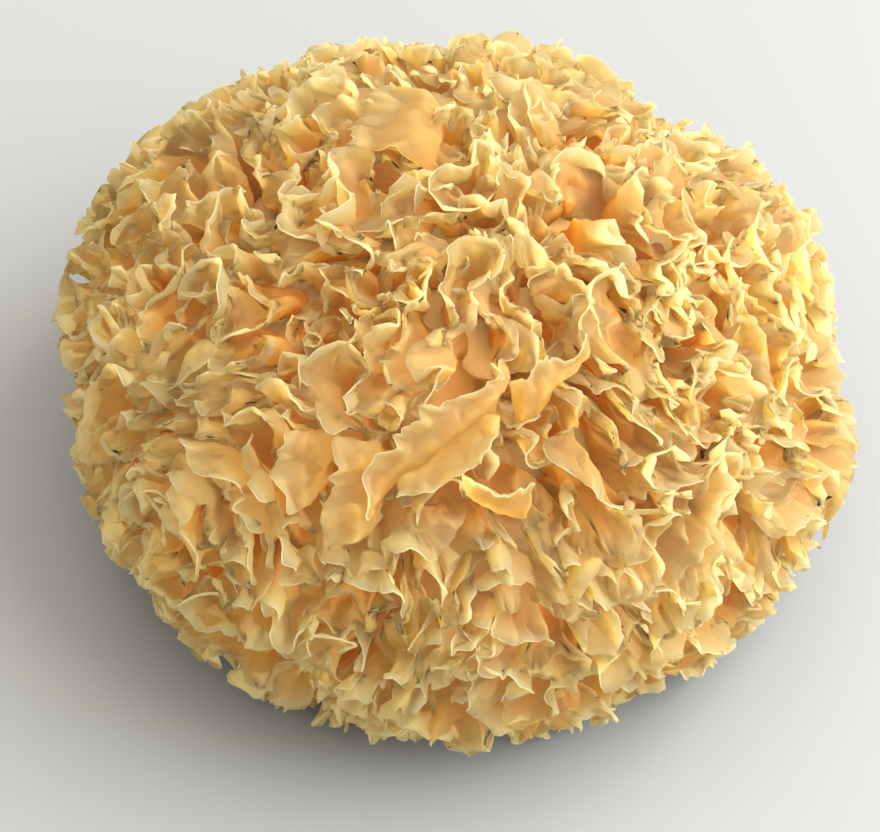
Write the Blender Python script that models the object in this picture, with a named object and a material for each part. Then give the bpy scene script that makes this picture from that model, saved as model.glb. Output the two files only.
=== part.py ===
"""A dried snow fungus: one grown fruit body, a ball of thin ruffled lobes on a trimmed root.

The lobes are one folded wall. Its crest is a curve that starts as a few small rings on a ball inside the
body and grows longer while that ball swells to the outer shape, so it buckles and fills the whole surface,
as the edge of a growing lobe does. The crest, the floor of the folds on its two sides and the rim of the
root cut are then triangulated together on the sphere of directions and set at their depths, which gives
one closed skin. Metres, +Z up, with the origin at the middle of the root cut, on which the body rests.
"""

import math

import bmesh
import bpy
import numpy as np
from mathutils import Vector, noise
from mathutils.geometry import delaunay_2d_cdt

NAME = "fruit_body"

# The outer shape: an ellipsoid 107 mm long in plan, cut off flat at the root
HALF_LENGTH = 0.0534
HALF_WIDTH = 0.0508
HALF_HEIGHT = 0.0375
TURN_OF_LENGTH = math.radians(-43)
CENTRE_HEIGHT = 0.0205
ROOT_RADIUS = 0.0205
ROOT_SIDES = 44
LEAST_CLEARANCE = 0.0010

# Swellings and dents of the outline, seen from the front and above: angle round the line of sight
# from the right, angle towards the viewer, share of the radius, and spread
VIEW_ELEVATION = math.radians(52)
SWELLINGS = (
    (28, 0, 0.050, 13),
    (5, 6, -0.055, 6),
    (-14, 0, 0.022, 12),
    (52, 0, -0.040, 12),
    (76, 0, 0.026, 10),
    (98, 0, -0.022, 12),
    (156, 0, 0.030, 12),
    (182, 0, -0.030, 9),
    (218, 0, -0.028, 14),
    (248, 0, 0.034, 11),
    (297, 0, -0.026, 13),
)

# The folded wall, and how far down the first rings are spread, as a share of the inner ball's width
SEED = 12
FIRST_RINGS = 12
FIRST_RING_RADIUS = 0.0048
RING_SPREAD = 0.78
FIRST_SCALE = 0.58
GROWTH_STAGES = 20
STEPS_A_STAGE = 12
SETTLING_STEPS = 36
NODE_SPACING = 0.0038
FOLD_SPACING = 0.0107
NEIGHBOURS = 1
SPLIT_CHANCE = 0.10
LOWEST_CREST = math.radians(126)
WALL_DEPTH = 0.0095
WALL_FOOT = 0.0014
CREST_LEVEL = 0.0004
CREST_RISE = 0.0014
CREST_WAVE = 0.0090
LEAN = 0.0042
LEAN_WAVE = 0.0220
DROOP = 0.35
NOISE_GAIN = 1.6

COLOUR = (0.86, 0.62, 0.30, 1.0)
ROUGHNESS = 0.62


def unit(vectors):
    return vectors / np.linalg.norm(vectors, axis=1, keepdims=True)


def direction_seen_at(around, towards):
    """The direction from the centre to a place in the front view, from its two angles in degrees."""
    around, towards = math.radians(around), math.radians(towards)
    right = np.array((1.0, 0.0, 0.0))
    up = np.array((0.0, math.sin(VIEW_ELEVATION), math.cos(VIEW_ELEVATION)))
    near = np.array((0.0, -math.cos(VIEW_ELEVATION), math.sin(VIEW_ELEVATION)))
    across = math.cos(around) * right + math.sin(around) * up
    return math.cos(towards) * across + math.sin(towards) * near


def soft_noise(points, wave, seed):
    """Smooth noise from about -1 to 1, one value a point, that varies over the length wave."""
    shift = Vector((seed * 7.3, seed * 3.1, seed * 5.7))
    return np.array([noise.noise(Vector(p) / wave + shift) for p in points]) * NOISE_GAIN


def outer_radius(directions):
    """Distance from the centre to the outer shape in each direction."""
    cos, sin = math.cos(TURN_OF_LENGTH), math.sin(TURN_OF_LENGTH)
    along = directions[:, 0] * cos + directions[:, 1] * sin
    across = directions[:, 1] * cos - directions[:, 0] * sin
    parts = (along / HALF_LENGTH) ** 2 + (across / HALF_WIDTH) ** 2
    radius = 1 / np.sqrt(parts + (directions[:, 2] / HALF_HEIGHT) ** 2)
    share = np.ones(len(directions))
    for around, towards, height, spread in SWELLINGS:
        apart = np.arccos(np.clip(directions @ direction_seen_at(around, towards), -1, 1))
        share += height * np.exp(-0.5 * (apart / math.radians(spread)) ** 2)
    return clear_of_table(directions, radius * share)


def clear_of_table(directions, radius):
    """The radius in each direction, made less where it would come too near the plane of the root cut."""
    down = np.maximum(-directions[:, 2], 1e-6)
    return np.minimum(radius, (CENTRE_HEIGHT - LEAST_CLEARANCE) / down)


def near_pairs(points, reach):
    """Index pairs of the points that lie closer than reach, found cell by cell."""
    cell = np.floor(points / reach).astype(np.int64)
    cell -= cell.min(0) - 1
    size = cell.max(0) + 2
    key = (cell[:, 0] * size[1] + cell[:, 1]) * size[2] + cell[:, 2]
    order = np.argsort(key, kind="stable")
    ranked = key[order]
    firsts, seconds = [], []
    for step in np.ndindex(3, 3, 3):
        shift = ((step[0] - 1) * size[1] + step[1] - 1) * size[2] + step[2] - 1
        if shift < 0:
            continue
        low = np.searchsorted(ranked, key + shift, "left")
        count = np.searchsorted(ranked, key + shift, "right") - low
        first = np.repeat(np.arange(len(points)), count)
        place = np.arange(count.sum()) - np.repeat(np.cumsum(count) - count, count)
        second = order[np.repeat(low, count) + place]
        gap = points[first] - points[second]
        close = (gap * gap).sum(1) < reach * reach
        if shift == 0:
            close &= first < second
        firsts.append(first[close])
        seconds.append(second[close])
    return np.concatenate(firsts), np.concatenate(seconds)


class Crest:
    """Closed curves on the sphere of directions, kept as one list of nodes, ring after ring."""

    SPRING = 0.30
    BEND = 0.25
    PUSH = 0.35
    SHAKE = 0.02
    LONGEST_STEP = 0.4
    RIPE_EDGE = 0.95
    LONGEST_EDGE = 1.5

    def __init__(self, directions, rings):
        self.directions = directions
        self.rings = rings
        self.link()

    def link(self):
        count = len(self.directions)
        self.first = np.flatnonzero(np.r_[True, self.rings[1:] != self.rings[:-1]])
        self.last = np.r_[self.first[1:], count] - 1
        self.after = np.arange(1, count + 1)
        self.after[self.last] = self.first
        self.before = np.arange(-1, count - 1)
        self.before[self.first] = self.last

    def split(self, edges):
        middles = unit(self.directions[edges] + self.directions[self.after[edges]])
        self.directions = np.insert(self.directions, edges + 1, middles, axis=0)
        self.rings = np.insert(self.rings, edges + 1, self.rings[edges])
        self.link()

    def points(self, scale):
        return self.directions * (outer_radius(self.directions) * scale)[:, None]

    def steps_apart(self, first, second):
        """How many nodes apart along their ring two nodes are, with a large number for two rings."""
        ring = np.searchsorted(self.first, first, "right") - 1
        size = (self.last - self.first + 1)[ring]
        apart = np.abs(first - second)
        apart = np.minimum(apart, size - apart)
        return np.where(self.rings[first] == self.rings[second], apart, len(self.rings))

    def grow(self, scale, chance, rng):
        """One step of growth: split some edges, then let springs, stiffness and crowding move the nodes."""
        points = self.points(scale)
        length = np.linalg.norm(points[self.after] - points, axis=1) / NODE_SPACING
        chosen = rng.random(len(length)) < chance
        chosen &= length > self.RIPE_EDGE
        self.split(np.flatnonzero(chosen | (length > self.LONGEST_EDGE)))
        points = self.points(scale)
        edge = points[self.after] - points
        length = np.linalg.norm(edge, axis=1)[:, None]
        pull = self.SPRING * (1 - NODE_SPACING / length) * edge
        force = pull - pull[self.before]
        force += self.BEND * ((points[self.after] + points[self.before]) / 2 - points)
        first, second = near_pairs(points, FOLD_SPACING)
        apart = self.steps_apart(first, second) > NEIGHBOURS
        first, second = first[apart], second[apart]
        gap = points[first] - points[second]
        distance = np.linalg.norm(gap, axis=1)[:, None]
        push = self.PUSH * NODE_SPACING * (1 / distance - 1 / FOLD_SPACING) * gap
        for axis in range(3):
            force[:, axis] += np.bincount(first, push[:, axis], len(points))
            force[:, axis] -= np.bincount(second, push[:, axis], len(points))
        force += rng.normal(0, self.SHAKE * NODE_SPACING, force.shape)
        force -= self.directions * (force * self.directions).sum(1)[:, None]
        size = np.linalg.norm(force, axis=1)[:, None]
        force *= np.minimum(1, self.LONGEST_STEP * NODE_SPACING / size)
        self.directions = np.round(self.keep_off_root(unit(points + force)), 9)

    @staticmethod
    def keep_off_root(directions):
        """Nodes that have come too near the root go back to the lowest line of the crests."""
        low = directions[:, 2] < math.cos(LOWEST_CREST)
        flat = np.linalg.norm(directions[low, :2], axis=1)
        directions[low, :2] *= (math.sin(LOWEST_CREST) / flat)[:, None]
        directions[low, 2] = math.cos(LOWEST_CREST)
        return directions


def first_rings():
    """Small rings spread evenly over the inner ball, clear of the root."""
    directions, rings = [], []
    sides = round(2 * math.pi * FIRST_RING_RADIUS / NODE_SPACING)
    for ring in range(FIRST_RINGS):
        height = 1 - 2 * RING_SPREAD * (ring + 0.5) / FIRST_RINGS
        turn = ring * math.pi * (3 - math.sqrt(5))
        flat = math.sqrt(1 - height * height)
        middle = Vector((flat * math.cos(turn), flat * math.sin(turn), height))
        side = middle.orthogonal().normalized()
        other = middle.cross(side)
        reach = FIRST_RING_RADIUS / float(outer_radius(np.array([middle]))[0] * FIRST_SCALE)
        for k in range(sides):
            angle = 2 * math.pi * k / sides
            point = middle + reach * (math.cos(angle) * side + math.sin(angle) * other)
            directions.append(point.normalized())
            rings.append(ring)
    return Crest(np.array(directions), np.array(rings))


def grown_crest():
    rng = np.random.default_rng(SEED)
    crest = first_rings()
    for scale in np.linspace(FIRST_SCALE, 1, GROWTH_STAGES):
        for _ in range(STEPS_A_STAGE):
            crest.grow(scale, SPLIT_CHANCE, rng)
    for _ in range(SETTLING_STEPS):
        crest.grow(1, 0, rng)
    return crest


def beside(crest, offset):
    """The crest's nodes moved sideways along the outer shape by offset."""
    points = crest.points(1)
    along = unit(points[crest.after] - points[crest.before])
    sideways = unit(np.cross(along, crest.directions))
    return unit(points + offset * sideways)


def on_plane(directions):
    """Stereographic map of the sphere from its lowest point, which keeps triangles in shape."""
    return directions[:, :2] / (1 + directions[:, 2:])


def on_sphere(flat):
    """The directions that on_plane sent to these points."""
    square = (flat * flat).sum(1)[:, None]
    return np.hstack([2 * flat, 1 - square]) / (1 + square)


def lean(directions):
    """How far the crests hang over, as a sideways vector for each direction."""
    points = directions * outer_radius(directions)[:, None]
    push = np.stack([soft_noise(points, LEAN_WAVE, k) for k in (3, 4, 5)], axis=1)
    push[:, 2] -= DROOP
    push -= directions * (push * directions).sum(1)[:, None]
    return LEAN * push


def ring_edges(start, after):
    return [(start + k, start + int(next_one)) for k, next_one in enumerate(after)]


def skin():
    """Points and triangles of the fruit body, and the points of the root cut's rim in order."""
    crest = grown_crest()
    count = len(crest.directions)
    turn = np.arange(ROOT_SIDES) * 2 * math.pi / ROOT_SIDES
    rim = ROOT_RADIUS * np.stack([np.cos(turn), np.sin(turn), 0 * turn], axis=1)
    rim_start = 3 * count
    chains = (
        crest.directions,
        beside(crest, WALL_FOOT),
        beside(crest, -WALL_FOOT),
        unit(rim - (0, 0, CENTRE_HEIGHT)),
    )
    edges = [edge for chain in range(3) for edge in ring_edges(chain * count, crest.after)]
    edges += ring_edges(rim_start, (np.arange(ROOT_SIDES) + 1) % ROOT_SIDES)
    flat = [Vector(p) for p in on_plane(np.concatenate(chains)).tolist()]
    spots, _, triangles, sources, _, _ = delaunay_2d_cdt(flat, edges, [], 1, 1e-9)
    # A spot without a source is where two lines of the floor cross at a tight bend
    source = np.array([found[0] if found else count for found in sources])
    directions = on_sphere(np.array([tuple(spot) for spot in spots]))
    on_crest = source < count
    surface = directions * outer_radius(directions)[:, None]
    leaning = unit(surface + lean(directions) * on_crest[:, None])
    rise = CREST_LEVEL + CREST_RISE * soft_noise(surface, CREST_WAVE, 1)
    radius = outer_radius(leaning) + np.where(on_crest, rise, -WALL_DEPTH)
    points = leaning * clear_of_table(leaning, radius)[:, None] + (0, 0, CENTRE_HEIGHT)
    on_rim = source >= rim_start
    points[on_rim] = rim[source[on_rim] - rim_start]
    order = np.argsort(np.where(on_rim, source, source.max() + 1), kind="stable")[:ROOT_SIDES]
    return points, triangles, order.tolist()


def material():
    made = bpy.data.materials.new("dried_fungus")
    made.use_nodes = True
    shader = made.node_tree.nodes["Principled BSDF"]
    shader.inputs["Base Color"].default_value = COLOUR
    shader.inputs["Roughness"].default_value = ROUGHNESS
    shader.inputs["Metallic"].default_value = 0.0
    return made


def fruit_body(collection):
    points, triangles, root = skin()
    mesh = bpy.data.meshes.new(NAME)
    mesh.from_pydata(points.tolist(), [], [*triangles, root])
    shape = bmesh.new()
    shape.from_mesh(mesh)
    bmesh.ops.recalc_face_normals(shape, faces=shape.faces)
    bmesh.ops.triangulate(shape, faces=[face for face in shape.faces if len(face.verts) > 3])
    shape.to_mesh(mesh)
    shape.free()
    mesh.materials.append(material())
    body = bpy.data.objects.new(NAME, mesh)
    collection.objects.link(body)
    return body


def main():
    for old in list(bpy.data.objects):
        bpy.data.objects.remove(old)
    collection = bpy.data.collections.new("snow_fungus")
    bpy.context.scene.collection.children.link(collection)
    fruit_body(collection)


main()
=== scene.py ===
"""A dried snow fungus: one head of thin ruffled lobes grown out of a trimmed root.

Most lobes are grown, not drawn. Their rims start as small rings near the root flesh and get longer while the
head swells, so they buckle and crowd as the rims of real lobes do. The path that a rim takes is its lobe's
sheet, which then leans, flares and frays towards the rim. A few broad lobes are laid over them.
Metres, +Z up, with the origin in the middle of the root cut.
"""

import math

import bmesh
import bpy
import numpy as np
from bpy.props import FloatProperty, FloatVectorProperty, IntProperty, PointerProperty
from mathutils import Matrix, Vector, noise


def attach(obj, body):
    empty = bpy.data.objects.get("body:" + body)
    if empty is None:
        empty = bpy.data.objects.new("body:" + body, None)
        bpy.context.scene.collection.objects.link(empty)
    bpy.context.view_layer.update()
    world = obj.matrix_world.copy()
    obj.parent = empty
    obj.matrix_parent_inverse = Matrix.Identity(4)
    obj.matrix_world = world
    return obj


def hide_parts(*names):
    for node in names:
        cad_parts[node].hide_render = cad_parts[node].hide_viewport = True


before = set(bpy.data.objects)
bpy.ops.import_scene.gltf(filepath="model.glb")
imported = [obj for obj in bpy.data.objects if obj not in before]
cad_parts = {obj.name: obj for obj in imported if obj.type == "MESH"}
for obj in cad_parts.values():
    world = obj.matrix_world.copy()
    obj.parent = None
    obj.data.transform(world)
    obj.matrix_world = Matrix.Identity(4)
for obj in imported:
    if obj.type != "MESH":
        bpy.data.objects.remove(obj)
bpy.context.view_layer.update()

bl_info = {
    "name": "Dried Snow Fungus",
    "version": (1, 0, 0),
    "blender": (4, 5, 0),
    "location": "3D View > Sidebar > Fungus",
    "description": "Grows a dried snow fungus head, lobe by lobe, on its trimmed root",
    "category": "Add Mesh",
}

# The outer shape, which is the solid's: an ellipsoid that rests on its root cut
HALF_LENGTH = 0.0534
HALF_WIDTH = 0.0508
HALF_HEIGHT = 0.0375
TURN_OF_LENGTH = math.radians(-43)
CENTRE_HEIGHT = 0.0205
ROOT_RADIUS = 0.0205
LEAST_CLEARANCE = 0.0010
CENTRE = np.array((0.0, 0.0, CENTRE_HEIGHT))
NOISE_GAIN = 1.6
MM_IN_METRE = 1000

# Swellings and dents of the outline, seen from the front and above: angle round the line of sight
# from the right, angle towards the viewer, share of the radius, and spread
VIEW_ELEVATION = math.radians(52)
TO_RIGHT = np.array((1.0, 0.0, 0.0))
UPWARDS = np.array((0.0, math.sin(VIEW_ELEVATION), math.cos(VIEW_ELEVATION)))
TO_VIEWER = np.array((0.0, -math.cos(VIEW_ELEVATION), math.sin(VIEW_ELEVATION)))
SWELLINGS = (
    (28, 0, 0.050, 13),
    (5, 6, -0.055, 6),
    (-14, 0, 0.022, 12),
    (52, 0, -0.040, 12),
    (76, 0, 0.026, 10),
    (98, 0, -0.022, 12),
    (156, 0, 0.030, 12),
    (182, 0, -0.030, 9),
    (218, 0, -0.028, 14),
    (248, 0, 0.034, 11),
    (297, 0, -0.026, 13),
)
# Where the folds are wider or closer than elsewhere, placed in the same way: share of the spacing,
# and spread
FOLD_REGIONS = (
    (265, 83, 0.65, 17),
    (104, 40, 0.40, 12),
    (-6, 66, 0.35, 12),
    (150, 50, 0.25, 16),
    (215, 30, 0.20, 20),
    (20, 15, -0.22, 30),
    (-35, 25, -0.10, 25),
)

# Broad lobes that lie over the others: the line that each grows from, and its rim's line, as millimetres
# to the right of the centre and above it in the front view
BROAD_LOBES = (
    (
        ((7.8, -0.7), (5.2, -5.8), (0.4, -8.7), (-3.9, -11.6), (-6.9, -13.7), (-9.2, -18.0)),
        ((5.8, 1.1), (2.1, -2.3), (-2.3, -3.8), (-6.7, -7.3), (-9.9, -11.5), (-9.7, -17.5)),
    ),
    (
        ((6.1, -5.6), (3.2, -6.6), (-0.4, -8.1), (-3.6, -11.1), (-6.6, -13.5)),
        ((5.0, -7.4), (3.2, -10.3), (-0.3, -13.1), (-3.2, -14.2), (-6.2, -14.8)),
    ),
    (
        ((-0.2, 36.4), (-0.4, 33.2), (-1.4, 29.7), (-3.4, 27.4)),
        ((-7.3, 37.5), (-10.4, 34.0), (-11.6, 30.8), (-12.1, 27.8)),
    ),
    (
        ((-9.1, -9.5), (-9.1, -13.7), (-9.8, -20.5)),
        ((-13.2, -8.6), (-13.8, -14.5), (-14.6, -20.6)),
    ),
    (
        ((-15.8, -6.6), (-15.3, -11.4), (-16.5, -16.3)),
        ((-19.1, -6.8), (-20.4, -11.8), (-18.0, -16.6)),
    ),
    (
        ((8.5, -7.0), (10.3, -5.2), (13.0, -2.7), (17.6, 1.6)),
        ((7.8, -0.7), (11.3, 1.6), (13.6, 0.6), (16.2, 4.2)),
    ),
    (
        ((1.7, -16.3), (5.6, -17.7), (10.1, -17.9)),
        ((1.1, -12.8), (3.7, -13.7), (7.0, -15.2), (9.8, -12.6)),
    ),
)
BROAD_COLUMNS = 56
BROAD_ROWS = 14
# Height of a broad lobe as a share of the outer shape's, by the share of the way to its rim
BROAD_PROFILE = ((0.0, 0.15, 0.4, 0.8, 1.0), (0.86, 0.95, 1.005, 1.012, 1.032))
# How far the crowded lobes make room beneath it, over which spread, at how many places along it
BROAD_ROOM = 0.0046
BROAD_SPREAD = 0.0024
HOLLOWS_A_LOBE = 6
# How often the depth of a place in the view is worked out anew from the outer shape
DEPTH_ROUNDS = 8
# How its rim is torn: the share of its width, and the lengths of two waves
TORN_SHARE = 0.10
TORN_WAVES = (0.022, 0.045)
# The part of its width that stands upright, and how far its hidden end dips over which part of its length
BROAD_UPRIGHT = 0.15
END_SHARE = 0.14
END_DIP = 0.07
# Wave and height of its sway and of the ripples near its rim, and the rise that its foot counts as
SWAY = (0.0090, 0.0007)
RIPPLE = (0.0032, 0.0006)
BROAD_FOOT = 0.72
# Pockets that open deep between the lobes: their place in the same view, depth and spread in millimetres
POCKETS = (
    (-8.5, -8.7, 8.0, 1.7),
    (-14.5, 5.0, 7.0, 1.8),
    (-14.8, -12.6, 7.0, 1.6),
    (-18.6, 8.5, 6.0, 1.6),
    (9.9, -24.8, 6.0, 1.3),
    (15.1, -9.2, 6.0, 1.3),
    (-9.0, -23.3, 6.0, 1.3),
)

# The light: the side that the window is on, after how many lobes the light is taken from close by, from how
# near and how strong it then is, and how far the flesh and the floor look instead
WINDOW_SIDE = (0.82, 0.16, 0.55)
GLOW_LOBES = 1
GLOW_REACH = 0.00004
GLOW_STRENGTH = 1.4
FLESH_REACH = 0.003
FLOOR_REACH = 1.0

# The pieces that the lobes are joined into, each by the direction that it lies in
LOBE_GROUPS = {
    "crown_lobes": (0, -0.2, 1.1),
    "front_lobes": (0, -1, 0.1),
    "front_right_lobes": (0.87, -0.5, 0.1),
    "back_right_lobes": (0.87, 0.5, 0.1),
    "back_lobes": (0, 1, 0.1),
    "back_left_lobes": (-0.87, 0.5, 0.1),
    "front_left_lobes": (-0.87, -0.5, 0.1),
}
MOST_TRIANGLES = 200000
# A face of a sheet becomes two on each of its sides
TRIANGLES_A_FACE = 4

# Specks of dirt: how many places for one lie along a metre, the radius of a speck as a share of the gap
# between them, and how much it covers
SPECKS_A_METRE = 170.0
SPECK_SHARE = 0.028
SPECK_COVER = 0.8

# The rings that the rims start as: their number, how far down the flesh they spread, where 2 is all of it,
# and their shape
LOBE_RINGS = 200
RING_SPREAD = 1.60
RING_RADIUS = 0.0015
RING_OVAL = 0.25
RING_CORNERS = 0.15
# The layers of growth: the size of the head at the first as a share of its full size, how many there are,
# how many lie in the flesh, and the gap of the nodes and width of the folds at the first and the last
FIRST_SCALE = 0.70
LAYERS = 18
HIDDEN_LAYERS = 6
STEPS_A_LAYER = 10
FIRST_NODE_GAP = 0.00080
NODE_GAP = 0.00052
FIRST_FOLD_SHARE = 1.55
# How far the folds are wider or closer in places, and beneath the head
CLOSEST_FOLDS = 0.35
WIDEST_FOLDS = 2.2
REGION_WAVE = 0.35
REGION_CHANGE = 0.20
CELL_WAVE = 0.08
CELL_CHANGE = 0.50
UNDER_START = 0.1
UNDER_SHARE = 0.9
# When an edge of a rim is split, by its length as a share of the gap
SPLIT_CHANCE = 0.14
RIPE_EDGE = 0.95
LONGEST_EDGE = 1.5
# How the rims drift, and how they wander up, aside and into teeth
DRIFT_WAVE = 0.013
FINE_DRIFT = 0.5
FINE_DRIFT_WAVES = 2.5
DROOP = 0.30
WANDER_MEMORY = 0.85
WANDER_SMOOTHING = (24, 12, 6)
LIFT, FLOP, TEETH = range(3)
FLOP_FORCE = 0.05
# How the grown sheets are eased, and how far their rims are raised, lowered and frayed
RELAX_STEP = 0.45
RELAX_TIMES = 2
LEAST_HEIGHT = 0.0004
LARGEST_LIFT = 0.0025
TURN_SMOOTHING = 5
TOOTH_SMOOTHING = 2
# The bend and the wander at which a rim is neither raised nor lowered
TOOTH_LEVEL = 0.45
SCALLOP_LEVEL = 0.8
SWELL_WAVE = 0.013
SWELL_SHARE = 0.5
FRAY_WAVE = 0.0014
FRAY_HEIGHT = 0.003
LOWEST_RIM = math.radians(130)
# Creases: the length that they run over and how far they move a sheet, as a share of the crumpling
CREASES = ((0.0060, 1.0), (0.0030, 0.6))
MEAN_CREASE = 0.226

# Waves of colour and of fine relief along a metre of a lobe, and of the flesh
CLOUDS = 90.0
MOTTLES = 600.0
GRAIN = 1400.0
RIPPLES = 420.0
FLESH_CLOUDS = 160.0
FLESH_GRAIN = 900.0
# Where the colours of a lobe lie on the way from its foot to its rim, how far clouds and mottles move them,
# and how much of the rim's own colour shows
# Darker and more orange towards the foot: partly the lobe's own colour, partly painted shade and painted
# glow of the light that passes through many lobes in the deep folds
COLOUR_STOPS = (0.38, 0.70, 0.96)
CLOUD_SHIFT = 0.30
MOTTLE_SHIFT = 0.12
RIM_COVER = 0.7

# The flesh: its size as a share of the head's, how far it sinks below the hollows, its lumps, each by wave,
# height as a share of the radius and seed, and its way into the root
CORE_SCALE = 0.82
CORE_SUNK = 0.35
FLESH_DETAIL = 6
FLESH_LUMPS = ((0.30, 0.03, 2), (0.10, 0.02, 4))
ROOT_BLEND = math.radians(34)
ROOT_SHARE = 0.985

# The stage
KEY_PLACE = (0.68, 0.06, 0.60)
KEY_AIM = (0.0, 0.0, 0.03)
AIM_RIGHT = -0.0012
AIM_DOWN = 0.0053
FLOOR_WIDTH = 4.0
FLOOR_SQUARES = 20


def unit(vectors):
    return vectors / np.linalg.norm(vectors, axis=1, keepdims=True)


def direction_seen_at(around, towards):
    """The direction from the centre to a place in the front view, from its two angles in degrees."""
    around, towards = math.radians(around), math.radians(towards)
    across = math.cos(around) * TO_RIGHT + math.sin(around) * UPWARDS
    return math.cos(towards) * across + math.sin(towards) * TO_VIEWER


def bell(apart, spread):
    """How strongly something acts at this distance: 1 at its middle, and less over its spread."""
    return np.exp(-0.5 * (apart / spread) ** 2)


def with_regions(directions, regions):
    """One value a direction: 1, plus the share of each region by how near the direction is to it."""
    share = np.ones(len(directions))
    for around, towards, height, spread in regions:
        facing = (directions * direction_seen_at(around, towards)).sum(1)
        apart = np.arccos(np.clip(facing, -1, 1))
        share += height * bell(apart, math.radians(spread))
    return share


def place_in_noise(seed):
    """A place of its own in the noise for each seed, so that one noise serves for many."""
    return Vector((seed * 7.3, seed * 3.1, seed * 5.7))


def soft_noise(points, wave, seed):
    """Smooth noise from about -1 to 1, one value a point, that varies over the length wave."""
    shift = place_in_noise(seed)
    return np.array([noise.noise(Vector(p) / wave + shift) for p in points]) * NOISE_GAIN


def soft_push(points, wave, seed):
    """The same noise as one vector a point."""
    shift = place_in_noise(seed)
    return np.array([noise.noise_vector(Vector(p) / wave + shift) for p in points]) * NOISE_GAIN


def outer_radius(directions):
    """Distance from the centre to the outer shape in each direction."""
    cos, sin = math.cos(TURN_OF_LENGTH), math.sin(TURN_OF_LENGTH)
    along = directions[:, 0] * cos + directions[:, 1] * sin
    across = directions[:, 1] * cos - directions[:, 0] * sin
    parts = (along / HALF_LENGTH) ** 2 + (across / HALF_WIDTH) ** 2
    radius = 1 / np.sqrt(parts + (directions[:, 2] / HALF_HEIGHT) ** 2)
    radius = radius * with_regions(directions, SWELLINGS)
    down = np.maximum(-directions[:, 2], 1e-6)
    return np.minimum(radius, (CENTRE_HEIGHT - LEAST_CLEARANCE) / down)


def front_direction(across, above):
    """The direction from the centre to a place of the outer shape, by its millimetres in the front view."""
    flat = (across * TO_RIGHT + above * UPWARDS) / MM_IN_METRE
    depth = HALF_WIDTH
    for _ in range(DEPTH_ROUNDS):
        direction = unit((flat + depth * TO_VIEWER)[None])
        depth = math.sqrt(max(outer_radius(direction)[0] ** 2 - (flat * flat).sum(), 0))
    return direction[0]


def directions_along(line, count):
    """Directions at even steps along a line of places in the front view."""
    corners = np.array([front_direction(across, above) for across, above in line])
    length = np.r_[0, np.cumsum(np.linalg.norm(np.diff(corners, axis=0), axis=1))]
    steps = np.linspace(0, length[-1], count)
    return unit(np.stack([np.interp(steps, length, corners[:, axis]) for axis in range(3)], axis=1))


def hollows():
    """Where the crowded lobes stand lower: directions with the depth and spread of each, in metres."""
    places = []
    for across, above, depth, spread in POCKETS:
        places.append((front_direction(across, above), depth / MM_IN_METRE, spread / MM_IN_METRE))
    for root, rim in BROAD_LOBES:
        middle = unit(directions_along(root, HOLLOWS_A_LOBE) + directions_along(rim, HOLLOWS_A_LOBE))
        places += [(direction, BROAD_ROOM, BROAD_SPREAD) for direction in middle]
    return places


def sunk(directions, places):
    """How much lower the lobes stand in each direction."""
    depth = np.zeros(len(directions))
    for middle, most, spread in places:
        apart = np.linalg.norm(directions - middle, axis=1) * HALF_LENGTH
        depth = np.maximum(depth, most * bell(apart, spread))
    return depth


def near_pairs(points, reach):
    """Index pairs of the points that lie closer than reach, found cell by cell."""
    cell = np.floor(points / reach).astype(np.int64)
    cell -= cell.min(0) - 1
    size = cell.max(0) + 2
    key = (cell[:, 0] * size[1] + cell[:, 1]) * size[2] + cell[:, 2]
    order = np.argsort(key, kind="stable")
    ranked = key[order]
    firsts, seconds = [], []
    for step in np.ndindex(3, 3, 3):
        shift = ((step[0] - 1) * size[1] + step[1] - 1) * size[2] + step[2] - 1
        if shift < 0:
            continue
        low = np.searchsorted(ranked, key + shift, "left")
        count = np.searchsorted(ranked, key + shift, "right") - low
        first = np.repeat(np.arange(len(points)), count)
        place = np.arange(count.sum()) - np.repeat(np.cumsum(count) - count, count)
        second = order[np.repeat(low, count) + place]
        gap = points[first] - points[second]
        close = (gap * gap).sum(1) < reach * reach
        if shift == 0:
            close &= first < second
        firsts.append(first[close])
        seconds.append(second[close])
    return np.concatenate(firsts), np.concatenate(seconds)


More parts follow.
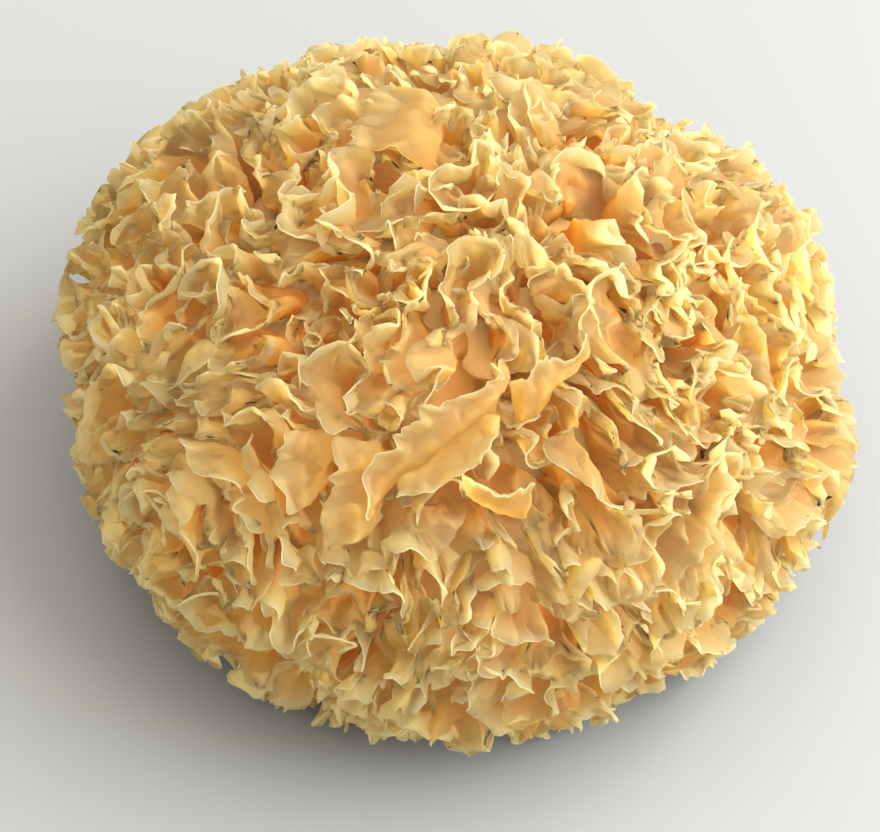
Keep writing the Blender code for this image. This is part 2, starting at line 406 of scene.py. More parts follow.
class Rims:
    """The growing rims: closed curves on the sphere of directions, kept as one list, ring after ring."""

    SPRING = 0.30
    BEND = 0.18
    PUSH = 0.35
    SHAKE = 0.02
    LONGEST_STEP = 0.4
    WIDE = 1.3
    NEXT_ON_RING = 0.93

    def __init__(self, directions, rings):
        self.directions = directions
        self.rings = rings
        self.wander = np.zeros((len(rings), len(WANDER_SMOOTHING)))
        self.link()

    def link(self):
        count = len(self.directions)
        self.first = np.flatnonzero(np.r_[True, self.rings[1:] != self.rings[:-1]])
        self.last = np.r_[self.first[1:], count] - 1
        self.after = np.arange(1, count + 1)
        self.after[self.last] = self.first
        self.before = np.arange(-1, count - 1)
        self.before[self.first] = self.last

    def start_layer(self, scale, drift, rng):
        """Number the nodes anew, so that those added from now on are known by their -1."""
        count = len(self.directions)
        self.old = np.arange(count)
        self.width = fold_share(self.directions)
        self.drift = drift_field(self.points(scale)) * drift
        for k, smoothing in enumerate(WANDER_SMOOTHING):
            fresh = self.smooth(rng.normal(0, 1, count), smoothing)
            fresh *= math.sqrt(1 - WANDER_MEMORY ** 2) / fresh.std()
            self.wander[:, k] = WANDER_MEMORY * self.wander[:, k] + fresh

    def split(self, edges):
        middles = unit(self.directions[edges] + self.directions[self.after[edges]])
        self.directions = np.insert(self.directions, edges + 1, middles, axis=0)
        self.rings = np.insert(self.rings, edges + 1, self.rings[edges])
        self.old = np.insert(self.old, edges + 1, -1)
        self.width = np.insert(self.width, edges + 1, self.width[edges])
        self.drift = np.insert(self.drift, edges + 1, self.drift[edges], axis=0)
        middles = (self.wander[edges] + self.wander[self.after[edges]]) / 2
        self.wander = np.insert(self.wander, edges + 1, middles, axis=0)
        self.link()

    def points(self, scale):
        return self.directions * (outer_radius(self.directions) * scale)[:, None]

    def crowded(self, points, spacing, gap):
        """Pairs of nodes nearer than their fold spacing allows, without close neighbours on a ring."""
        reach = self.width * spacing
        first, second = near_pairs(points, spacing * self.WIDE)
        wide = np.flatnonzero(self.width > self.WIDE)
        if len(wide):
            far_first, far_second = near_pairs(points[wide], reach.max())
            far_first, far_second = wide[far_first], wide[far_second]
            away = np.linalg.norm(points[far_first] - points[far_second], axis=1) >= spacing * self.WIDE
            first = np.r_[first, far_first[away]]
            second = np.r_[second, far_second[away]]
        reach = np.minimum(reach[first], reach[second])
        ring = np.searchsorted(self.first, first, "right") - 1
        size = (self.last - self.first + 1)[ring]
        steps = np.abs(first - second)
        steps = np.minimum(steps, size - steps)
        apart = (self.rings[first] != self.rings[second]) | (steps > self.NEXT_ON_RING * reach / gap)
        distance = np.linalg.norm(points[first] - points[second], axis=1)
        chosen = apart & (distance < reach)
        return first[chosen], second[chosen], distance[chosen], reach[chosen]

    def sideways(self, points):
        """The direction across the sheet at each node, along the ball."""
        return unit(np.cross(points[self.after] - points[self.before], self.directions))

    def grow(self, scale, spacing, gap, most, rng):
        """One step of growth: split some edges, then let springs, stiffness and crowding move the nodes."""
        points = self.points(scale)
        length = np.linalg.norm(points[self.after] - points, axis=1) / gap
        ripe = np.flatnonzero((length > RIPE_EDGE) & (rng.random(len(length)) < SPLIT_CHANCE))
        ripe = rng.permutation(ripe)[:max(most - len(length), 0)]
        self.split(np.union1d(ripe, np.flatnonzero(length > LONGEST_EDGE)))
        points = self.points(scale)
        edge = points[self.after] - points
        length = np.linalg.norm(edge, axis=1)[:, None]
        pull = self.SPRING * (1 - gap / length) * edge
        force = pull - pull[self.before]
        force += self.BEND * ((points[self.after] + points[self.before]) / 2 - points)
        first, second, distance, reach = self.crowded(points, spacing, gap)
        push = (self.PUSH * gap * (1 / distance - 1 / reach))[:, None] * (points[first] - points[second])
        for axis in range(3):
            force[:, axis] += np.bincount(first, push[:, axis], len(points))
            force[:, axis] -= np.bincount(second, push[:, axis], len(points))
        force += self.sideways(points) * (self.wander[:, FLOP] * FLOP_FORCE * gap)[:, None]
        force += rng.normal(0, self.SHAKE * gap, force.shape)
        force -= self.directions * (force * self.directions).sum(1)[:, None]
        size = np.linalg.norm(force, axis=1)[:, None]
        force *= np.minimum(1, self.LONGEST_STEP * gap / size)
        moved = unit(points + force + self.drift)
        low = moved[:, 2] < math.cos(LOWEST_RIM)
        moved[low, :2] *= (math.sin(LOWEST_RIM) / np.linalg.norm(moved[low, :2], axis=1))[:, None]
        moved[low, 2] = math.cos(LOWEST_RIM)
        self.directions = np.round(moved, 9)

    def smooth(self, values, times):
        for _ in range(times):
            values = (values + values[self.after] + values[self.before]) / 3
        return values


def fold_share(directions):
    """How wide the folds are in each direction, as a share of the fold spacing."""
    wander = soft_noise(directions, REGION_WAVE, seed=21) * REGION_CHANGE
    wander += soft_noise(directions, CELL_WAVE, seed=23) * CELL_CHANGE
    under = np.clip(-directions[:, 2] - UNDER_START, 0, 1) * UNDER_SHARE
    return np.clip(with_regions(directions, FOLD_REGIONS) + wander + under, CLOSEST_FOLDS, WIDEST_FOLDS)


def drift_field(points):
    """Which way the growing rims drift at each point, so that the lobes lean and curl."""
    push = soft_push(points, DRIFT_WAVE, seed=3)
    push += FINE_DRIFT * soft_push(points, DRIFT_WAVE / FINE_DRIFT_WAVES, seed=4)
    push[:, 2] -= DROOP
    out = unit(points)
    return push - out * (push * out).sum(1)[:, None]


def first_rings(rng):
    """Small rings spread evenly over the root flesh, clear of the root."""
    directions, rings = [], []
    sides = round(2 * math.pi * RING_RADIUS / FIRST_NODE_GAP)
    for ring in range(LOBE_RINGS):
        height = 1 - RING_SPREAD * (ring + 0.5) / LOBE_RINGS
        turn = ring * math.pi * (3 - math.sqrt(5))
        flat = math.sqrt(1 - height * height)
        middle = Vector((flat * math.cos(turn), flat * math.sin(turn), height))
        side = middle.orthogonal().normalized()
        other = middle.cross(side)
        reach = RING_RADIUS / float(outer_radius(np.array([middle]))[0] * FIRST_SCALE)
        start = rng.random() * 6
        for k in range(sides):
            angle = 2 * math.pi * k / sides
            wobble = 1 + RING_OVAL * math.sin(2 * angle + start) + RING_CORNERS * math.sin(3 * angle - start)
            point = middle + reach * wobble * (math.cos(angle) * side + math.sin(angle) * other)
            directions.append(point.normalized())
            rings.append(ring)
    return Rims(np.array(directions), np.array(rings))


class Sheets:
    """All the lobes' sheets as one set of points and faces, layer by layer from the flesh to the rim."""

    def __init__(self, sizes):
        self.sizes = sizes
        self.points, self.rises, self.faces, self.owners = [], [], [], []
        self.befores, self.afters, self.edges = [], [], []
        self.count = 0
        self.hollows = hollows()
        # The noise starts from the clock unless it is told where to start
        noise.seed_set(sizes.seed)
        rng = np.random.default_rng(sizes.seed)
        rims = first_rings(rng)
        for layer in range(LAYERS):
            share = layer / (LAYERS - 1)
            scale = FIRST_SCALE + (1 - FIRST_SCALE) * share
            gap = FIRST_NODE_GAP + (NODE_GAP - FIRST_NODE_GAP) * share
            wider = FIRST_FOLD_SHARE + (1 - FIRST_FOLD_SHARE) * share
            spacing = sizes.fold_spacing * wider
            most = round(sizes.rim_length * scale ** 2 / wider / gap)
            rims.start_layer(scale, sizes.lean * share / (LAYERS * STEPS_A_LAYER), rng)
            for _ in range(STEPS_A_LAYER):
                rims.grow(scale, spacing, gap, most, rng)
            if layer > HIDDEN_LAYERS:
                self.join(rims)
            if layer >= HIDDEN_LAYERS:
                self.add(rims, scale, share)
        self.points = np.concatenate(self.points)
        self.rises = np.concatenate(self.rises)
        self.faces = np.concatenate(self.faces)
        self.owners = np.concatenate(self.owners)
        self.relax(RELAX_TIMES)
        self.points += np.concatenate(self.edges)
        for k, (root, rim) in enumerate(BROAD_LOBES):
            self.add_broad_lobe(root, rim, LOBE_RINGS + k)
        self.crumple()
        self.points[:, 2] = np.maximum(self.points[:, 2], LEAST_HEIGHT)

    def relax(self, times):
        """Take the sharpest creases out of the sheets by moving each point towards its neighbours."""
        before, after = np.concatenate(self.befores), np.concatenate(self.afters)
        a, b, c, d = self.faces.T
        up = np.concatenate([np.stack([a, np.where(d < 0, c, d)], 1), np.stack([b, c], 1)])
        up = up[up[:, 0] != up[:, 1]]
        count = len(self.points)
        share = np.bincount(up[:, 0], minlength=count) + np.bincount(up[:, 1], minlength=count) + 2
        for _ in range(times):
            total = self.points[before] + self.points[after]
            for axis in range(3):
                column = self.points[:, axis]
                total[:, axis] += np.bincount(up[:, 0], column[up[:, 1]], count)
                total[:, axis] += np.bincount(up[:, 1], column[up[:, 0]], count)
            self.points = self.points + RELAX_STEP * (total / share[:, None] - self.points)

    def add_broad_lobe(self, root, rim, owner):
        """One broad lobe: it rises from the line it grows from and spreads over the others to its rim."""
        root, rim = directions_along(root, BROAD_COLUMNS), directions_along(rim, BROAD_COLUMNS)
        close, wide = TORN_WAVES
        torn = 1 + TORN_SHARE * soft_noise(rim, close, owner)
        torn += TORN_SHARE * soft_noise(rim, wide, owner + 20)
        rim = unit(root + (rim - root) * torn[:, None])
        start = len(self.points)
        hidden_end = np.clip(1 - np.arange(BROAD_COLUMNS) / (END_SHARE * BROAD_COLUMNS), 0, 1)
        rows = []
        for across in np.linspace(0, 1, BROAD_ROWS):
            directions = unit(root + (rim - root) * max(across - BROAD_UPRIGHT, 0) / (1 - BROAD_UPRIGHT))
            height = np.interp(across, *BROAD_PROFILE) - END_DIP * hidden_end ** 2
            points = directions * (outer_radius(directions) * height)[:, None]
            points += soft_push(points, SWAY[0], owner) * SWAY[1]
            points += directions * (soft_noise(points, RIPPLE[0], owner) * RIPPLE[1] * across ** 3)[:, None]
            rows.append(points + CENTRE)
        self.points = np.concatenate([self.points, *rows])
        rise = np.repeat(np.linspace(BROAD_FOOT, 1, BROAD_ROWS), BROAD_COLUMNS)
        self.rises = np.concatenate([self.rises, rise])
        grid = start + np.arange(BROAD_ROWS * BROAD_COLUMNS).reshape(BROAD_ROWS, BROAD_COLUMNS)
        faces = np.stack([grid[:-1, :-1], grid[:-1, 1:], grid[1:, 1:], grid[1:, :-1]], axis=-1)
        faces = faces.reshape(-1, 4)
        self.faces = np.concatenate([self.faces, faces])
        self.owners = np.concatenate([self.owners, np.full(len(faces), owner)])

    def crumple(self):
        """Bend the sheets sharply here and there, as drying does."""
        for k, (wave, depth) in enumerate(CREASES):
            shift = Vector((11.3 * k + 3.1, 5.7, 2.9 * k))
            bends = [noise.turbulence_vector(Vector(p) / wave + shift, 1, True) for p in self.points]
            self.points = self.points + (np.array(bends) - MEAN_CREASE) * (depth * self.sizes.crumple)

    def join(self, rims):
        """Faces between the last layer and this one, whose new nodes share the nearer old one."""
        old = rims.old
        place = np.arange(len(old))
        known = old >= 0
        last_known = np.maximum.accumulate(np.where(known, place, 0))
        next_known = np.minimum.accumulate(np.where(known, place, len(old))[::-1])[::-1]
        ring = np.searchsorted(rims.first, place, "right") - 1
        wraps = next_known > rims.last[ring]
        next_place = np.where(wraps, rims.last[ring] + 1, next_known)
        next_old = np.where(wraps, old[rims.first[ring]], old[np.minimum(next_known, len(old) - 1)])
        nearer = (place - last_known) * 2 < next_place - last_known
        below = np.where(nearer, old[last_known], next_old)
        start = self.count - self.last_size
        a, b = start + below, start + below[rims.after]
        c, d = self.count + rims.after, self.count + place
        # A face whose two lower corners are one node is a triangle, which is marked by -1
        fourth = np.where(a == b, -1, d)
        third = np.where(a == b, d, c)
        second = np.where(a == b, c, b)
        self.faces.append(np.stack([a, second, third, fourth], axis=1))
        self.owners.append(rims.rings)

    def add(self, rims, scale, share):
        """The nodes of one layer, moved from the growing ball to where the dried lobe stands."""
        sizes = self.sizes
        on_ball = rims.points(1)
        turn = on_ball[rims.after] - 2 * on_ball + on_ball[rims.before]
        turn -= rims.directions * (turn * rims.directions).sum(1)[:, None]
        turn = rims.smooth(turn / NODE_GAP ** 2, TURN_SMOOTHING)
        bend = np.clip(np.linalg.norm(turn, axis=1) * sizes.tooth_width, 0, 1)
        points = on_ball * scale
        points -= rims.directions * (sunk(rims.directions, self.hollows) * share ** 2)[:, None]
        points += rims.sideways(on_ball) * (rims.wander[:, FLOP] * sizes.flop * share ** 3)[:, None]
        flare = -turn / np.maximum(np.linalg.norm(turn, axis=1), 1e-9)[:, None] * bend[:, None]
        points += flare * (sizes.flare * share ** 4)
        self.points.append(points + CENTRE)
        lift = soft_noise(on_ball, SWELL_WAVE, seed=5) * SWELL_SHARE + rims.wander[:, LIFT]
        lift *= sizes.unevenness
        lift += sizes.tooth_height * (rims.smooth(bend, TOOTH_SMOOTHING) - TOOTH_LEVEL)
        lift += sizes.scallop * (SCALLOP_LEVEL - np.abs(rims.wander[:, TEETH]))
        lift = np.where(lift > 0, np.tanh(lift / LARGEST_LIFT) * LARGEST_LIFT, lift) * share ** 2
        fray = soft_push(on_ball + share * FRAY_HEIGHT * rims.directions, FRAY_WAVE, seed=9)
        self.edges.append(rims.directions * lift[:, None] + fray * (sizes.crinkle * share ** 6))
        self.rises.append(np.full(len(points), share))
        self.befores.append(self.count + rims.before)
        self.afters.append(self.count + rims.after)
        self.last_size = len(points)
        self.count += len(points)


def lobe_groups(sheets):
    """Which group each ring of sheet belongs to, by where its rim lies."""
    names = list(LOBE_GROUPS)
    towards = unit(np.array(list(LOBE_GROUPS.values())))
    groups = {}
    for ring in range(LOBE_RINGS + len(BROAD_LOBES)):
        faces = sheets.faces[sheets.owners == ring]
        middle = sheets.points[faces[:, 0]].mean(0) - CENTRE
        groups.setdefault(names[int((towards * middle).sum(1).argmax())], []).append(ring)
    return groups


def lobe_mesh(name, sheets, rings, material):
    faces = sheets.faces[np.isin(sheets.owners, rings)]
    used, places = np.unique(faces, return_inverse=True)
    places = places.reshape(faces.shape)
    if used[0] < 0:
        used, places = used[1:], places - 1
    mesh = bpy.data.meshes.new(name)
    polygons = [row[:3] if row[3] < 0 else row for row in places.tolist()]
    mesh.from_pydata(sheets.points[used].tolist(), [], polygons)
    for label, values in (("rise", sheets.rises[used]), ("rim", (sheets.rises[used] == 1) * 1.0)):
        mesh.attributes.new(label, "FLOAT", "POINT").data.foreach_set("value", values)
    mesh.materials.append(material)
    mesh.polygons.foreach_set("use_smooth", np.ones(len(mesh.polygons), dtype=bool))
    piece = bpy.data.objects.new(name, mesh)
    bpy.context.scene.collection.objects.link(piece)
    return piece, sheets.rises[used]


class Wire:
    """One socket of a material's node tree, so that its maths reads as Python expressions."""

    def __init__(self, tree, socket):
        self.tree = tree
        self.socket = socket

    def made(self, kind, settings, sockets, output=0):
        """A new node of this kind: its settings first, then values or links for its sockets."""
        node = self.tree.nodes.new(kind)
        for name, value in settings.items():
            if name == "stops":
                ramp = node.color_ramp
                while len(ramp.elements) < len(value):
                    ramp.elements.new(1.0)
                for element, (place, colour) in zip(ramp.elements, value):
                    element.position = place
                    element.color = (*colour, 1.0)
            else:
                setattr(node, name, value)
        for name, value in sockets.items():
            if isinstance(value, Wire):
                self.tree.links.new(value.socket, node.inputs[name])
            else:
                node.inputs[name].default_value = value
        return Wire(self.tree, node.outputs[output])

    def maths(self, operation, first, second=0.0):
        return self.made("ShaderNodeMath", {"operation": operation}, {0: first, 1: second})

    def __add__(self, other):
        return self.maths("ADD", self, other)

    __radd__ = __add__

    def __sub__(self, other):
        return self.maths("SUBTRACT", self, other)

    def __mul__(self, other):
        return self.maths("MULTIPLY", self, other)

    def __pow__(self, other):
        return self.maths("POWER", self, other)

    def clamped(self):
        return self.made("ShaderNodeClamp", {}, {"Value": self})

    def mixed(self, first, second):
        """The two colours mixed by this value."""
        settings = {"data_type": "RGBA"}
        return self.made("ShaderNodeMix", settings, {0: self, 6: first, 7: second}, 2)


def tree_of(material):
    """An empty tree for the material and a wire to build its nodes from."""
    material.use_nodes = True
    tree = material.node_tree
    tree.nodes.clear()
    return tree, Wire(tree, None)


def finish_tree(tree, shader, kind="ShaderNodeOutputMaterial"):
    output = tree.nodes.new(kind)
    tree.links.new(shader.socket, output.inputs["Surface"])


def patches(start, place, scale, detail=2.0):
    """Noise from 0 to 1 in the object's own space, by its count of waves in a metre."""
    sockets = {"Vector": place, "Scale": scale, "Detail": detail}
    return start.made("ShaderNodeTexNoise", {}, sockets)


def dried_lobe_material(colours):
    material = bpy.data.materials.new("dried_lobe")
    tree, start = tree_of(material)
    place = start.made("ShaderNodeTexCoord", {}, {}, "Object")
    rise = start.made("ShaderNodeAttribute", {"attribute_name": "rise"}, {}, "Fac")
    cloud = patches(start, place, CLOUDS)
    mottle = patches(start, place, MOTTLES, 3.0)
    # Darker, more orange towards the foot: partly the lobe's own colour, partly painted shade and painted
    # glow of the light that passes through many lobes in the deep folds
    depth = (rise + (cloud - 0.5) * CLOUD_SHIFT + (mottle - 0.5) * MOTTLE_SHIFT).clamped()
    shades = (colours.depth_colour_and_shade[:3], colours.fold_colour_and_shade[:3], colours.face_colour[:3])
    stops = tuple(zip(COLOUR_STOPS, shades))
    colour = start.made("ShaderNodeValToRGB", {"stops": stops}, {"Fac": depth}, "Color")
    rim = start.made("ShaderNodeAttribute", {"attribute_name": "rim"}, {}, "Fac")
    colour = (rim ** 2 * RIM_COVER).mixed(colour, colours.rim_colour)
    specks = start.made("ShaderNodeTexVoronoi", {}, {"Vector": place, "Scale": SPECKS_A_METRE}, "Distance")
    speck = start.maths("LESS_THAN", specks, SPECK_SHARE)
    colour = (speck * SPECK_COVER).mixed(colour, colours.speck_colour)
    roughness = 0.42 + mottle * 0.30
    height = patches(start, place, GRAIN, 4.0) + patches(start, place, RIPPLES) * 1.5
    bump = start.made("ShaderNodeBump", {}, {"Height": height, "Strength": 0.25, "Distance": 0.0002})
    body = start.made(
        "ShaderNodeBsdfPrincipled",
        {},
        {"Base Color": colour, "Roughness": roughness, "Normal": bump, "Specular IOR Level": 0.35},
    )
    through = start.made("ShaderNodeBsdfTranslucent", {}, {"Color": colour, "Normal": bump})
    glow = start.made("ShaderNodeMixShader", {}, {0: colours.translucency, 1: body, 2: through})
    finish_tree(tree, glow)
    return material


def root_flesh_material(colours):
    material = bpy.data.materials.new("root_flesh")
    tree, start = tree_of(material)
    place = start.made("ShaderNodeTexCoord", {}, {}, "Object")
    cloud = patches(start, place, FLESH_CLOUDS, 4.0)
    # Dark brown with orange patches: partly the trimmed root's own colour, partly painted shade where the
    # flesh shows at the bottom of the pockets
    colour = (cloud - 0.2).clamped().mixed(colours.root_colour_and_pit_shade, colours.depth_colour_and_shade)
    height = patches(start, place, FLESH_GRAIN, 5.0)
    bump = start.made("ShaderNodeBump", {}, {"Height": height, "Strength": 0.5, "Distance": 0.0004})
    sockets = {"Base Color": colour, "Roughness": 0.6 + cloud * 0.3, "Normal": bump}
    finish_tree(tree, start.made("ShaderNodeBsdfPrincipled", {}, sockets))
    return material


class FungusSizes(bpy.types.PropertyGroup):
    seed: IntProperty(name="Growth", description="Which of the possible heads is grown", default=1, min=1)
    fold_spacing: FloatProperty(
        name="Fold spacing", description="Distance between folds at the rims",
        default=0.0021, unit="LENGTH",
    )
    rim_length: FloatProperty(
        name="Rim length", description="Length of all the rims of the grown head together",
        default=16.0, unit="LENGTH",
    )
    lobe_thickness: FloatProperty(
        name="Lobe thickness", description="Thickness of a lobe near the flesh",
        default=0.00032, unit="LENGTH",
    )
    rim_share: FloatProperty(
        name="Rim thickness", description="Thickness of the rim as a share of the lobe's",
        default=0.62, subtype="FACTOR",
    )
    lean: FloatProperty(
        name="Lean", description="How far the rims hang over to the side",
        default=0.026, unit="LENGTH",
    )
    unevenness: FloatProperty(
        name="Unevenness", description="How far some rims stand above others",
        default=0.0014, unit="LENGTH",
    )
    flop: FloatProperty(
        name="Flop", description="How far a stretch of rim falls over to one side of its lobe",
        default=0.0017, unit="LENGTH",
    )
    tooth_height: FloatProperty(
        name="Tooth height", description="How far the rim rises where a fold turns",
        default=0.0026, unit="LENGTH",
    )
    tooth_width: FloatProperty(
        name="Tooth width", description="Radius of the folds that get a full tooth",
        default=0.0011, unit="LENGTH",
    )
    scallop: FloatProperty(
        name="Scallops", description="Depth of the hollows in the rim between its points",
        default=0.0019, unit="LENGTH",
    )
    flare: FloatProperty(
        name="Flare", description="How far the rim bends out where a fold turns",
        default=0.0009, unit="LENGTH",
    )
    crumple: FloatProperty(
        name="Crumpling", description="How far the creases of drying bend a lobe",
        default=0.0014, unit="LENGTH",
    )
    crinkle: FloatProperty(
        name="Crinkle", description="Fine waves along the rim",
        default=0.00035, unit="LENGTH",
    )


def colour_property(name, description, default):
    return FloatVectorProperty(name=name, description=description, default=default, size=4, subtype="COLOR")


class FungusColours(bpy.types.PropertyGroup):
    rim_colour: colour_property("Rims", "Crisp rims of the lobes", (0.99, 0.94, 0.73, 1.0))
    face_colour: colour_property("Faces", "Faces of the lobes near the rim", (0.99, 0.89, 0.56, 1.0))
    # Folds and depths: partly the lobes' own colour, partly painted shade and painted glow of the deep folds
    fold_colour_and_shade: colour_property("Folds", "Faces of the lobes lower down", (0.99, 0.76, 0.32, 1.0))
    depth_colour_and_shade: colour_property("Depths", "Where lobes grow out of the flesh", (0.98, 0.57, 0.15, 1.0))
    # Root: partly its own brown, partly painted shade at the bottom of the pockets
    root_colour_and_pit_shade: colour_property("Root", "Trimmed root", (0.44, 0.20, 0.06, 1.0))
    speck_colour: colour_property("Specks", "Specks of dirt caught in the lobes", (0.10, 0.06, 0.03, 1.0))
    translucency: FloatProperty(
        name="Translucency", description="Share of the light that passes through a lobe",
        default=0.88, subtype="FACTOR",
    )


class StudioSettings(bpy.types.PropertyGroup):
    camera_distance: FloatProperty(
        name="Camera distance", description="From the camera to the middle of the head",
        default=0.38, unit="LENGTH",
    )
    picture_width: FloatProperty(
        name="Picture width", description="Width that the picture takes in at the head",
        default=0.1187, unit="LENGTH",
    )
    key_power: FloatProperty(
        name="Key light", description="Power of the key light",
        default=16.3, unit="POWER",
    )
    key_size: FloatProperty(
        name="Key size", description="Width of the key light; a wide one gives soft shadows",
        default=1.15, unit="LENGTH",
    )
    key_colour: colour_property("Key colour", "Colour of the key light", (0.98, 1.0, 1.0, 1.0))
    fill_light: FloatProperty(
        name="Fill light", description="Mean strength of the light all round",
        default=0.79,
    )
    fill_lean: FloatProperty(
        name="Fill lean", description="How much more of the fill light comes from the window side",
        default=0.92, subtype="FACTOR",
    )
    fill_colour: colour_property("Fill colour", "Colour of the light all round", (1.0, 0.91, 0.785, 1.0))
    floor_colour: colour_property("Floor", "Floor", (0.345, 0.365, 0.38, 1.0))


def settle(piece):
    """Hang every piece of the head on its body, and hide the solid that it stands for."""
    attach(piece, "root")
    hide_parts("fruit_body")


class FUNGUS_OT_lobes(bpy.types.Operator):
    """Grow the lobes' sheets and join them into groups by where they lie"""

    bl_idname = "fungus.lobes"
    bl_label = "Grow Lobes"

    def execute(self, context):
        sizes = context.scene.fungus_sizes
        material = dried_lobe_material(context.scene.fungus_colours)
        sheets = Sheets(sizes)
        for name, rings in lobe_groups(sheets).items():
            piece, rise = lobe_mesh(name, sheets, rings, material)
            group = piece.vertex_groups.new(name="thickness")
            thickness = 1 - (1 - sizes.rim_share) * rise ** 2
            for value in np.unique(np.round(thickness, 3)):
                chosen = np.flatnonzero(np.round(thickness, 3) == value)
                group.add(chosen.tolist(), float(value), "REPLACE")
            solid = piece.modifiers.new("Thickness", "SOLIDIFY")
            solid.thickness = sizes.lobe_thickness
            solid.offset = 0.0
            solid.vertex_group = "thickness"
            settle(piece)
            triangles = TRIANGLES_A_FACE * len(piece.data.polygons)
            if triangles > MOST_TRIANGLES:
                raise ValueError(f"{name} has {triangles} triangles")
        return {"FINISHED"}


class FUNGUS_OT_root(bpy.types.Operator):
    """Model the flesh that the lobes grow out of, cut flat at the root"""

    bl_idname = "fungus.root"
    bl_label = "Model Root Flesh"

    def execute(self, context):
        mesh = bpy.data.meshes.new("root_flesh")
        shape = bmesh.new()
        bmesh.ops.create_icosphere(shape, subdivisions=FLESH_DETAIL, radius=1.0)
        shape.to_mesh(mesh)
        shape.free()
        directions = np.empty(len(mesh.vertices) * 3)
        mesh.vertices.foreach_get("co", directions)
        directions = unit(directions.reshape(-1, 3))
        radius = outer_radius(directions) * CORE_SCALE - sunk(directions, hollows()) * CORE_SUNK
        lumps = np.ones(len(directions))
        for wave, height, seed in FLESH_LUMPS:
            lumps += height * soft_noise(directions, wave, seed)
        radius *= lumps
        from_root = np.arccos(np.clip(-directions[:, 2], -1, 1))
        rim_angle = math.atan2(ROOT_RADIUS, CENTRE_HEIGHT)
        blend = np.clip((from_root - rim_angle) / ROOT_BLEND, 0, 1)
        blend = blend * blend * (3 - 2 * blend)
        flat = CENTRE_HEIGHT / np.maximum(-directions[:, 2], 0.2)
        rim = math.hypot(ROOT_RADIUS, CENTRE_HEIGHT)
        radius = np.where(from_root < rim_angle, flat, rim * ROOT_SHARE * (1 - blend) + radius * blend)
        points = directions * radius[:, None] + CENTRE
        points[:, 2] = np.maximum(points[:, 2], 0)
        mesh.vertices.foreach_set("co", points.ravel())
        mesh.polygons.foreach_set("use_smooth", np.ones(len(mesh.polygons), dtype=bool))
        mesh.materials.append(root_flesh_material(context.scene.fungus_colours))
        piece = bpy.data.objects.new("root_flesh", mesh)
        context.scene.collection.objects.link(piece)
        piece.cycles.ao_distance = FLESH_REACH
        settle(piece)
        return {"FINISHED"}


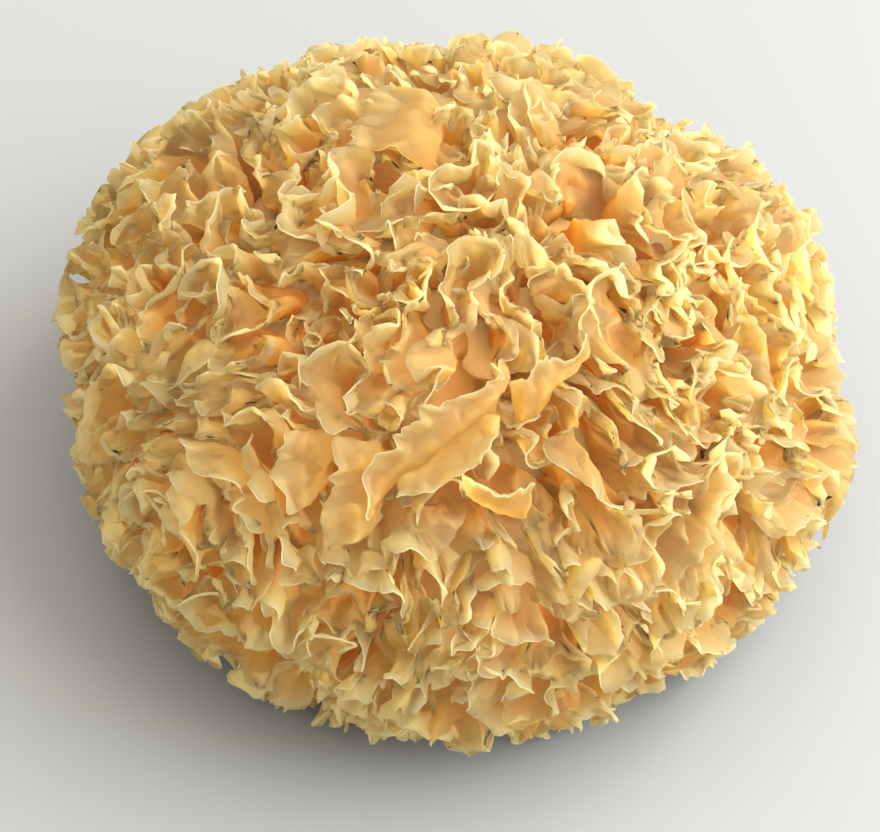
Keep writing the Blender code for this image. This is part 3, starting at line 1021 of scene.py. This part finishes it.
class FUNGUS_OT_stage(bpy.types.Operator):
    """Lay the floor, hang the lights and place the camera"""

    bl_idname = "fungus.stage"
    bl_label = "Set Up Stage"

    def execute(self, context):
        studio = context.scene.fungus_studio
        self.floor(studio)
        self.lights(context.scene, studio)
        self.camera(context.scene, studio)
        return {"FINISHED"}

    def floor(self, studio):
        squares = {"x_subdivisions": FLOOR_SQUARES, "y_subdivisions": FLOOR_SQUARES}
        bpy.ops.mesh.primitive_grid_add(size=FLOOR_WIDTH, **squares)
        floor = bpy.context.object
        floor.name = "floor"
        material = bpy.data.materials.new("floor")
        tree, start = tree_of(material)
        place = start.made("ShaderNodeTexCoord", {}, {}, "Object")
        sockets = {"Base Color": studio.floor_colour, "Roughness": 0.45 + patches(start, place, 8.0) * 0.1}
        finish_tree(tree, start.made("ShaderNodeBsdfPrincipled", {}, sockets))
        floor.data.materials.append(material)
        floor.cycles.ao_distance = FLOOR_REACH

    def lights(self, scene, studio):
        world = bpy.data.worlds.new("studio")
        tree, start = tree_of(world)
        place = start.made("ShaderNodeTexCoord", {}, {}, "Generated")
        sockets = {0: place, 1: WINDOW_SIDE}
        facing = start.made("ShaderNodeVectorMath", {"operation": "DOT_PRODUCT"}, sockets, "Value")
        strength = (facing * studio.fill_lean + 1) * studio.fill_light
        sockets = {"Color": studio.fill_colour, "Strength": strength}
        finish_tree(tree, start.made("ShaderNodeBackground", {}, sockets), "ShaderNodeOutputWorld")
        scene.world = world
        # Light that has gone through this many lobes is taken from close by, so deep folds glow
        world.light_settings.distance = GLOW_REACH
        world.light_settings.ao_factor = GLOW_STRENGTH
        scene.cycles.use_fast_gi = True
        scene.cycles.fast_gi_method = "REPLACE"
        scene.cycles.ao_bounces_render = GLOW_LOBES
        data = bpy.data.lights.new("key", "AREA")
        data.shape = "DISK"
        data.size = studio.key_size
        data.energy = studio.key_power
        data.color = studio.key_colour[:3]
        key = bpy.data.objects.new("key", data)
        key.location = KEY_PLACE
        key.rotation_euler = (Vector(KEY_AIM) - key.location).to_track_quat("-Z", "Y").to_euler()
        scene.collection.objects.link(key)

    def camera(self, scene, studio):
        data = bpy.data.cameras.new("camera")
        data.lens = data.sensor_width * studio.camera_distance / studio.picture_width
        camera = bpy.data.objects.new("camera", data)
        up, near = Vector(UPWARDS), Vector(TO_VIEWER)
        aim = Vector(CENTRE) + Vector((AIM_RIGHT, 0, 0)) - AIM_DOWN * up
        turn = Matrix((Vector(TO_RIGHT), up, near)).transposed()
        camera.matrix_world = Matrix.Translation(aim + near * studio.camera_distance) @ turn.to_4x4()
        scene.collection.objects.link(camera)
        scene.camera = camera
        scene.view_settings.view_transform = "Standard"


class FUNGUS_PT_panel(bpy.types.Panel):
    """The steps that make the snow fungus, with its sizes and colours"""

    bl_idname = "FUNGUS_PT_panel"
    bl_label = "Snow Fungus"
    bl_space_type = "VIEW_3D"
    bl_region_type = "UI"
    bl_category = "Fungus"

    def draw(self, context):
        for group in GROUPS:
            box = self.layout.box()
            settings = getattr(context.scene, group)
            for name in settings.__annotations__:
                box.prop(settings, name)
        for step in STEPS:
            self.layout.operator(step.bl_idname)


GROUPS = {"fungus_sizes": FungusSizes, "fungus_colours": FungusColours, "fungus_studio": StudioSettings}
STEPS = (FUNGUS_OT_root, FUNGUS_OT_lobes, FUNGUS_OT_stage)


def register():
    for made in (*GROUPS.values(), *STEPS, FUNGUS_PT_panel):
        bpy.utils.register_class(made)
    for name, group in GROUPS.items():
        setattr(bpy.types.Scene, name, PointerProperty(type=group))


def unregister():
    for name in GROUPS:
        delattr(bpy.types.Scene, name)
    for made in reversed((*GROUPS.values(), *STEPS, FUNGUS_PT_panel)):
        bpy.utils.unregister_class(made)


def main():
    register()
    bpy.ops.fungus.root()
    bpy.ops.fungus.lobes()
    bpy.ops.fungus.stage()


if __name__ == "__main__":
    main()
